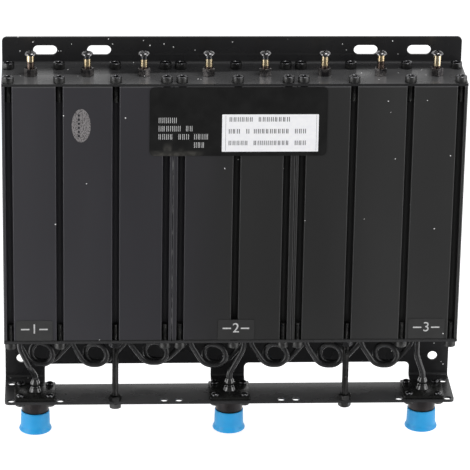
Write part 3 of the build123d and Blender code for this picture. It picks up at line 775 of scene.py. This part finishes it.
placeNuts(nutRuns, nutForm)
print("nuts placed")


# Studs between the floor and the shelf

stud = {"crest": 2.0, "root": 1.72, "pitch": 0.7, "low": -222.5, "high": -165.4, "steps": 16}


def placeStuds(s):
    template = threadTemplate(s["crest"], s["root"], s["pitch"], s["high"] - s["low"], s["steps"])
    bm = bmesh.new()
    stamp(bm, template, [at(x, layout["studRowY"], s["low"]) for x in layout["studsX"]])
    template.free()
    addPiece("studRods", bm, "chassis", "blackedNut", ("studs",))


placeStuds(stud)
print("studs placed")


# Tuners: a cross-recess pan head on a threaded brass sleeve. A recess has half a width, a reach and a depth.

tuner = {
    "seat": 4.7, "head": 3.5, "height": 2.2, "edge": 0.5, "recess": (0.5, 1.9, 1.1), "headSteps": 48,
    "sleeve": 2.25, "root": 2.17, "pitch": 0.5, "low": -17.9, "steps": 24,
    # where each sleeve's unshaded brass starts and ends; below it the brass is painted in shade, above it
    # dark steel is painted shade under the head
    "unshadedSpan": ((0.6, 4.3), (-2.3, 2.3), (-2.5, 2.0), (-2.5, 2.2), (-2.1, 2.0), (-2.1, 3.6), (0.7, 4.3),
               (-2.3, 4.1)),
}
flangeScrew = {
    "head": 2.4, "height": 1.9, "edge": 0.6, "recess": (0.35, 1.2, 0.8), "headSteps": 32,
    "crest": 1.5, "root": 1.25, "pitch": 0.5, "steps": 14, "low": -221.5,
}
panHead = {"footEdge": 0.15, "domeSteps": 8, "domeFrom": 0.02, "recessTaper": 0.82}


def panHeadTemplate(s, form):
    bm = bmesh.new()
    radius, top, edge = s["head"], s["height"], s["edge"]
    profile = [(0, 0), (radius - form["footEdge"], 0), (radius, form["footEdge"]), (radius, edge)]
    for step in range(1, form["domeSteps"] + 1):
        angle = step / form["domeSteps"] * pi / 2
        profile.append((radius * cos(angle), edge + (top - edge) * sin(angle)))
    spinUp(bm, profile, s["headSteps"])
    tidyShell(bm)
    cutRecess(bm, s, form)
    bmesh.ops.recalc_face_normals(bm, faces=bm.faces)
    return bm


def cutRecess(bm, s, form):
    half, reach, depth = s["recess"]
    domeZ = s["edge"] + form["domeFrom"]
    for axis in (0, 1):
        for offset in (-reach, -half, half, reach):
            spot, facing = Vector(), Vector()
            spot[axis], facing[axis] = offset, 1
            dome = [f for f in bm.faces if f.calc_center_median().z > domeZ]
            geom = set(dome) | {e for f in dome for e in f.edges} | {v for f in dome for v in f.verts}
            bmesh.ops.bisect_plane(bm, geom=list(geom), dist=1e-4, plane_co=spot, plane_no=facing)
    inside = []
    for face in bm.faces:
        x, y, z = face.calc_center_median()
        if z > domeZ and ((abs(x) < half and abs(y) < reach) or (abs(y) < half and abs(x) < reach)):
            inside.append(face)
    bmesh.ops.delete(bm, geom=inside, context="FACES")
    walls = bmesh.ops.extrude_edge_only(bm, edges=openEdges(bm))["geom"]
    low = only(bmesh.types.BMVert, walls)
    for vert in low:
        vert.co.z = s["height"] - depth
        vert.co.xy *= form["recessTaper"]
    bottom = [edge for edge in only(bmesh.types.BMEdge, walls) if all(v in low for v in edge.verts)]
    bmesh.ops.edgeloop_fill(bm, edges=bottom)


def placeTuners(s):
    head = panHeadTemplate(s, panHead)
    sleeve = threadTemplate(s["sleeve"], s["root"], s["pitch"], s["seat"] - s["low"], s["steps"])
    draw = random.Random(2)
    for number, x in enumerate(layout["cavitiesX"], 1):
        bm = bmesh.new()
        stamp(bm, head, [at(x, layout["midY"], s["seat"], 0, draw.uniform(0, 90))])
        addPiece(f"tunerHead_{number}", bm, f"tuner_{number}", "nickelPlate",
                 (f"tuner_screw_{number}",), sharp=30)
        bm = bmesh.new()
        stamp(bm, sleeve, [at(x, layout["midY"], s["low"])])
        # painted shade: dark steel above the neck, shaded brass below the foot
        foot, neck = s["unshadedSpan"][number - 1]
        for face in bm.faces:
            z = face.calc_center_median().z
            face.material_index = int(z > neck) + 2 * int(z < foot)
        addPiece(f"tunerThread_{number}", bm, f"tuner_{number}",
                 ("turnedBrass", "darkSteel", "paintedShadeBrass"), (f"tuner_sleeve_{number}",), sharp=50)
    head.free()
    sleeve.free()


placeTuners(tuner)
print("tuners placed")


# Jacks: square flange, plain neck, threaded nose, and a shrink boot over the crimp behind

jack = {
    "flange": 25.4, "thickness": 2.0, "corner": 1.5, "flatEdge": 0.2, "collar": 8.4, "collarEdge": 0.4,
    "barrel": 7.94, "root": 7.4, "pitch": 1.058, "steps": 64, "bore": 4.05, "mouthGap": 0.25,
    "neckEnd": -227.9, "relief": 0.9, "noseOverlap": 0.5, "end": -236.2,
}
boot = {
    # a flared foot, a waist and a skirt, as (radius, height), around a cable of the given radius
    "cable": 1.8, "steps": 40, "profile": (
        (3.95, 0.0), (3.9, 0.25), (3.6, 0.8), (3.3, 1.5), (3.05, 2.2), (2.75, 2.6), (2.5, 2.85), (2.4, 3.1),
        (2.4, 3.5), (2.65, 3.8), (2.92, 4.15), (3.0, 4.7), (2.92, 5.5), (2.65, 6.3), (2.35, 6.9), (2.1, 7.4),
        (1.95, 7.7)),
}


def jackFlange(s):
    bm = bmesh.new()
    low, high = layout["shelfZ"], layout["jackTopZ"]
    bmesh.ops.create_cube(bm, size=1, matrix=Matrix.Translation((0, 0, (low + high) / 2))
                          @ Matrix.Diagonal((s["flange"], s["flange"], s["thickness"], 1)))
    upright = [e for e in bm.edges if abs(e.verts[0].co.z - e.verts[1].co.z) > 1]
    bevelEdges(bm, upright, s["corner"], 5)
    flat = [e for e in bm.edges if abs(e.verts[0].co.z - e.verts[1].co.z) < 1e-4]
    bevelEdges(bm, flat, s["flatEdge"], 2)
    return bm


def jackNeck(s):
    bm = bmesh.new()
    low, neckEnd, edge = layout["shelfZ"], s["neckEnd"], s["collarEdge"]
    reliefEnd = neckEnd - s["relief"]
    spinUp(bm, [(s["bore"], low), (s["collar"], low), (s["collar"], neckEnd + edge),
                (s["collar"] - edge, neckEnd), (s["root"], neckEnd), (s["root"], reliefEnd),
                (s["bore"], reliefEnd)], s["steps"])
    tidyShell(bm)
    paintFaces(bm, 1)
    return bm


def jackNose(s):
    length = s["neckEnd"] - s["noseOverlap"] - s["end"]
    bm = threadTemplate(s["barrel"], s["root"], s["pitch"], length, s["steps"])
    ends = [f for f in bm.faces if len(f.verts) > 8]
    bmesh.ops.delete(bm, geom=ends, context="FACES")
    for z in (0, length):
        rim = [e for e in openEdges(bm) if abs(e.verts[0].co.z - z) < 1e-3]
        made = bmesh.ops.extrude_edge_only(bm, edges=rim)["geom"]
        for vert in only(bmesh.types.BMVert, made):
            vert.co.xy *= (s["bore"] + s["mouthGap"]) / vert.co.xy.length
    bmesh.ops.bridge_loops(bm, edges=openEdges(bm))
    bmesh.ops.recalc_face_normals(bm, faces=bm.faces)
    paintFaces(bm, 1)
    return bm


def jackBodyTemplate(s):
    bm = jackFlange(s)
    for part, low in ((jackNeck(s), 0), (jackNose(s), s["end"])):
        stamp(bm, part, [at(0, 0, low)])
        part.free()
    return bm


def bootTemplate(s):
    bm = bmesh.new()
    foot, top = s["profile"][0], s["profile"][-1]
    spinUp(bm, [(s["cable"], foot[1]), *s["profile"], (s["cable"], top[1])], s["steps"])
    bmesh.ops.remove_doubles(bm, verts=bm.verts, dist=1e-4)
    bmesh.ops.bridge_loops(bm, edges=openEdges(bm))
    tidyShell(bm)
    return bm


def placeJacks(screw):
    body = jackBodyTemplate(jack)
    rear = bootTemplate(boot)
    head = panHeadTemplate(screw, panHead)
    top, y = layout["jackTopZ"], layout["jackY"]
    shank = threadTemplate(screw["crest"], screw["root"], screw["pitch"], top - screw["low"], screw["steps"])
    boots, screws = bmesh.new(), bmesh.new()
    draw = random.Random(6)
    for number, x in enumerate(layout["jacksX"], 1):
        bm = bmesh.new()
        stamp(bm, body, [at(x, y, 0)])
        addPiece(f"jackBody_{number}", bm, "chassis", ("flangeBlack", "paintedShadePlate"),
                 (f"port_jack_{number}",))
        stamp(boots, rear, [at(x, y, top)])
    for x, y in layout["flangeHoles"]:
        stamp(screws, head, [at(x, y, top, 0, draw.uniform(0, 90))])
        stamp(screws, shank, [at(x, y, screw["low"])])
    addPiece("crimpBoots", boots, "chassis", "bootShrink", ("cable_sleeves",))
    addPiece("flangeScrews", screws, "chassis", "darkSteel", ("jack_screws",), sharp=30)
    for bm in (body, rear, head, shank):
        bm.free()


placeJacks(flangeScrew)
print("jacks placed")


# Dust caps, turned from a wall in and out, as (radius, height above the closed end)

cap = {
    "low": -241.3, "steps": 72,
    "inside": ((0, 1.5), (7.39, 1.5), (7.99, 2.1), (7.99, 12.7), (8.05, 13.0)),
    "outside": ((8.45, 13.1), (8.7, 13.02), (8.84, 12.8), (8.9, 12.0), (9.0, 9.0), (9.1, 5.0), (9.14, 3.6),
                (9.25, 3.0), (9.5, 2.4), (9.85, 1.8), (10.1, 1.2), (10.2, 0.75), (10.12, 0.4), (9.85, 0.12),
                (9.4, 0.0), (8.4, 0.0), (8.0, 0.2), (0, 0.2)),
}


def placeCaps(s):
    for number, x in enumerate(layout["jacksX"], 1):
        bm = bmesh.new()
        spinUp(bm, s["inside"] + s["outside"], s["steps"])
        tidyShell(bm)
        bmesh.ops.transform(bm, matrix=at(x, layout["jackY"], s["low"]), verts=bm.verts)
        addPiece(f"dustCap_{number}", bm, f"cap_{number}", "capVinyl",
                 (f"dust_cap_{number}",), sharp=40)


placeCaps(cap)
print("caps placed")


# Labels, seal and prints. Their faces carry plain bars, ruled lines and plain numerals only.

labels = {
    "paper": (-7.8, 50.4, -51.4, -27.6), "paperThickness": 0.12, "paperCorner": 0.3, "printThickness": 0.03,
    # two ruled lines: distances in from left and right, width, and distance from top and bottom
    "ruled": (2.2, 1.3), "ruledWidth": 0.12, "ruledMargin": 0.6,
    # rows of bars, as the height of the row's middle, its height, and the groups from left to right
    "paleRows": (
        (-31.3, 3.5, ((-45.9, -34.2),)),
        (-36.6, 3.5, ((-45.9, -33.0), (-29.4, -23.7))),
        (-41.8, 3.5, ((-45.9, -36.3), (-33.9, -26.1), (-24.5, -15.1))),
        (-47.1, 3.5, ((-24.5, -16.8),)),
    ),
    "darkRows": (
        (-30.7, 2.9, ((-3.3, 10.9), (14.2, 33.7))),
        (-38.3, 2.9, ((-3.7, 3.6), (6.9, 8.5), (11.4, 33.3), (36.2, 42.7))),
        (-45.8, 2.9, ((-3.7, 8.5), (11.4, 33.3), (36.2, 42.7))),
    ),
    # width of a bar and of the cell that holds two of them, and how far apart the two start
    "paleBars": (0.36, 2.3), "darkBars": (0.45, 2.43), "barShift": (0.85, 1.25),
}
seal = {
    "centre": (-92.4, -34.7), "half": (5.7, 10.6), "rim": 0.6, "sunk": 0.05, "thickness": 0.12, "points": 64,
    "bars": 6, "barX": 1.4, "barWidth": 1.2, "barPitch": 2.6, "barHeight": 1.4, "firstBar": -7.2,
}
portMarks = {
    "marks": ((-121.3, "1"), (2.65, "2"), (120.4, "3")), "z": -167.5, "height": 6.2, "capShare": 0.69,
    "dashAway": 5.6, "dashWidth": 5.2, "dashHeight": 0.9,
}


def addBlock(bm, x0, x1, z0, z1, back, thickness, corner=0.0):
    middle = Matrix.Translation(((x0 + x1) / 2, back - thickness / 2, (z0 + z1) / 2))
    size = Matrix.Diagonal((x1 - x0, thickness, z1 - z0, 1))
    made = bmesh.ops.create_cube(bm, size=1, matrix=middle @ size)
    if corner:
        corners = [e for e in {e for v in made["verts"] for e in v.link_edges}
                   if abs(e.verts[0].co.y - e.verts[1].co.y) > thickness / 2]
        bevelEdges(bm, corners, corner, 4)


def addMarks(bm, rows, bars, back, seed):
    # each row is a run of plain upright bars, two to a cell, at the spacing of print
    draw = random.Random(seed)
    wide, cell = bars
    for z, height, groups in rows:
        for left, right in groups:
            for step in range(max(1, round((right - left) / cell))):
                for shift in (0.0, draw.uniform(*labels["barShift"])):
                    x = left + step * cell + shift
                    addBlock(bm, x, x + wide, z - height / 2, z + height / 2, back, labels["printThickness"])


def placeLabels(s):
    paper, dark, pale = bmesh.new(), bmesh.new(), bmesh.new()
    x0, x1, z0, z1 = s["paper"]
    addBlock(paper, x0, x1, z0, z1, layout["labelY"], s["paperThickness"], s["paperCorner"])
    addPiece("dataLabel", paper, "chassis", "paperWhite")
    face = layout["labelY"] - s["paperThickness"]
    addMarks(dark, s["darkRows"], s["darkBars"], face, 11)
    half, margin = s["ruledWidth"] / 2, s["ruledMargin"]
    for x in (x0 + s["ruled"][0], x1 - s["ruled"][1]):
        addBlock(dark, x - half, x + half, z0 + margin, z1 - margin, face, s["printThickness"])
    addPiece("dataLabelPrint", dark, "chassis", "darkInk")
    addMarks(pale, s["paleRows"], s["paleBars"], layout["labelY"], 5)
    addPiece("sheetPrint", pale, "chassis", "paleInk")


def placeSeal(s):
    bm = bmesh.new()
    disc = bmesh.ops.create_circle(bm, cap_ends=True, segments=s["points"], radius=1)["verts"]
    bmesh.ops.scale(bm, vec=(*s["half"], 1), verts=disc)
    up = bmesh.ops.extrude_face_region(bm, geom=bm.faces[:])["geom"]
    bmesh.ops.translate(bm, vec=(0, 0, s["thickness"]), verts=only(bmesh.types.BMVert, up))
    bmesh.ops.inset_region(bm, faces=only(bmesh.types.BMFace, up), thickness=s["rim"], depth=-s["sunk"],
                           use_even_offset=True)
    bmesh.ops.recalc_face_normals(bm, faces=bm.faces)
    x, z = s["centre"]
    bmesh.ops.transform(bm, matrix=at(x, layout["frontY"], z, 90), verts=bm.verts)
    addPiece("ovalSeal", bm, "chassis", "sealFoil")
    bars = bmesh.new()
    left = x - s["barX"] - s["barWidth"] / 2
    back = layout["frontY"] - s["thickness"] + s["sunk"]
    for step in range(s["bars"]):
        low = z + s["firstBar"] + step * s["barPitch"]
        addBlock(bars, left, left + s["barWidth"], low, low + s["barHeight"], back, labels["printThickness"])
    addPiece("ovalSealBars", bars, "chassis", "darkInk")


def markShape(mark, s):
    curve = bpy.data.curves.new("portMark", "FONT")
    curve.body = mark
    curve.size = s["height"] / s["capShare"]
    curve.align_x, curve.align_y = "CENTER", "CENTER"
    curve.extrude = labels["printThickness"] / 2
    holder = addObject("portMark", curve)
    solid = bpy.data.meshes.new_from_object(holder)
    bm = bmesh.new()
    bm.from_mesh(solid)
    bpy.data.objects.remove(holder)
    bpy.data.curves.remove(curve)
    bpy.data.meshes.remove(solid)
    return bm


def placePortMarks(s):
    thickness, z = labels["printThickness"], s["z"]
    halfWide, halfHigh = s["dashWidth"] / 2, s["dashHeight"] / 2
    for number, (x, mark) in enumerate(s["marks"], 1):
        bm = markShape(mark, s)
        bmesh.ops.transform(bm, matrix=at(x, layout["labelY"] - thickness / 2, z, 90), verts=bm.verts)
        for middle in (x - s["dashAway"], x + s["dashAway"]):
            addBlock(bm, middle - halfWide, middle + halfWide, z - halfHigh, z + halfHigh, layout["labelY"],
                     thickness)
        addPiece(f"portMark_{number}", bm, "chassis", "paleInk")


placeLabels(labels)
placeSeal(seal)
placePortMarks(portMarks)
print("labels placed")


# Sheets and extrusions with their edges broken, so that they catch a line of light

edgeBreaks = {
    "bracketCoat": (0.15, "bracket_paint", ("top_bracket", "bottom_bracket")),
    "blockCoat": (0.3, "block_finish", ("cavity_block_left", "cavity_block_centre", "cavity_block_right")),
}
edgeAngles = {"flat": 0.5, "broken": 40, "smooth": 14}


def brokenEdgeCopy(nodeName, finishName, width, angles):
    bm = bmesh.new()
    bm.from_mesh(nodes[nodeName].data)
    bmesh.ops.scale(bm, vec=(1 / mm, 1 / mm, 1 / mm), verts=bm.verts)
    bmesh.ops.remove_doubles(bm, verts=bm.verts, dist=1e-3)
    bmesh.ops.dissolve_limit(bm, angle_limit=radians(angles["flat"]), verts=bm.verts, edges=bm.edges)
    edges = [e for e in bm.edges
             if len(e.link_faces) == 2 and e.calc_face_angle() > radians(angles["broken"])]
    bmesh.ops.bevel(bm, geom=edges, offset=width, affect="EDGES", segments=3, profile=0.5, material=-1,
                    clamp_overlap=True)
    addPiece(nodeName + "_broken", bm, "chassis", finishName, (nodeName,), sharp=angles["smooth"])


for finishName, (width, slotName, names) in edgeBreaks.items():
    for name in names:
        brokenEdgeCopy(name, finishName, width, edgeAngles)
print("edges broken")


# Loose specks, each where a ray through its place in the picture lands

specks = {
    "places": (
        (18, 37), (20, 51), (33, 42), (58.5, 51), (61, 51), (71.5, 44), (68, 69.5), (20.5, 76), (78, 76),
        (108.5, 39), (112.5, 44), (143.5, 40.5), (150, 45.5), (164, 44), (173.5, 47), (232.5, 42), (195, 50),
        (198, 79), (201, 79.5), (133.5, 62.5), (144.5, 76), (346.5, 50), (342.5, 44), (361.5, 73),
        (379, 79.5), (392.5, 41), (398, 54), (398.5, 73), (421.5, 70), (426, 75), (99.5, 340), (10.5, 378),
        (28, 378), (223, 356), (391.5, 351), (434, 343), (443, 333.5), (441, 361.5), (443, 364),
        (234.3, 381.6), (388.4, 101.2), (390.7, 112.4), (427.5, 100.4), (450.4, 155.8), (395.3, 158.9),
        (364.2, 219), (434.3, 228.7), (409.9, 204.5), (305, 220.6), (238.4, 159.3), (283.6, 168.5),
        (86.5, 183.8), (125.5, 118), (224.7, 168.5), (63.5, 115.7), (55.4, 224.4),
    ),
    "radius": (0.32, 0.55), "narrow": (0.6, 1), "flatness": 0.5, "turn": (0, 6),
}


def placeSpecks(s, c):
    bpy.context.view_layer.update()
    graph = bpy.context.evaluated_depsgraph_get()
    side, top, ahead = cameraAxes(c)
    start = cameraPlace(c)
    draw = random.Random(8)
    bm = bmesh.new()
    for x, y in s["places"]:
        ray = side * ((x - c["centre"][0]) / c["focal"]) - top * ((y - c["centre"][1]) / c["focal"]) + ahead
        hit, spot, facing, _, thing, _ = bpy.context.scene.ray_cast(graph, start, ray.normalized())
        if not hit or thing.name == "studioFloor":
            continue
        grain = bmesh.new()
        bmesh.ops.create_icosphere(grain, subdivisions=1, radius=draw.uniform(*s["radius"]))
        squash = Matrix.Diagonal((1, draw.uniform(*s["narrow"]), s["flatness"], 1))
        spin = Matrix.Rotation(draw.uniform(*s["turn"]), 4, "Z")
        turn = facing.to_track_quat("Z", "Y").to_matrix().to_4x4() @ spin
        stamp(bm, grain, [Matrix.Translation(spot / mm) @ turn @ squash])
        grain.free()
    addPiece("looseSpecks", bm, "chassis", "speckWhite")


placeSpecks(specks, photoCamera)
print("specks placed")


# Finishes of the pieces that stay as they are

kept = {
    "cableJacket": [f"link_cable_{n}" for n in range(1, 8)] + [f"port_cable_{n}" for n in range(1, 4)],
    "turnedBrass": [f"resonator_{n}" for n in range(1, 9)] + ["coupling_straps", "jack_contacts"],
    "whiteResin": ["jack_insulators"],
    "labelFilm": ["label_sheet"],
    "stickerFilm": ["port_stickers"],
}
for finishName, names in kept.items():
    for name in names:
        for slotPlace in nodes[name].material_slots:
            slotPlace.material = finishes[finishName]
print("kept nodes finished")
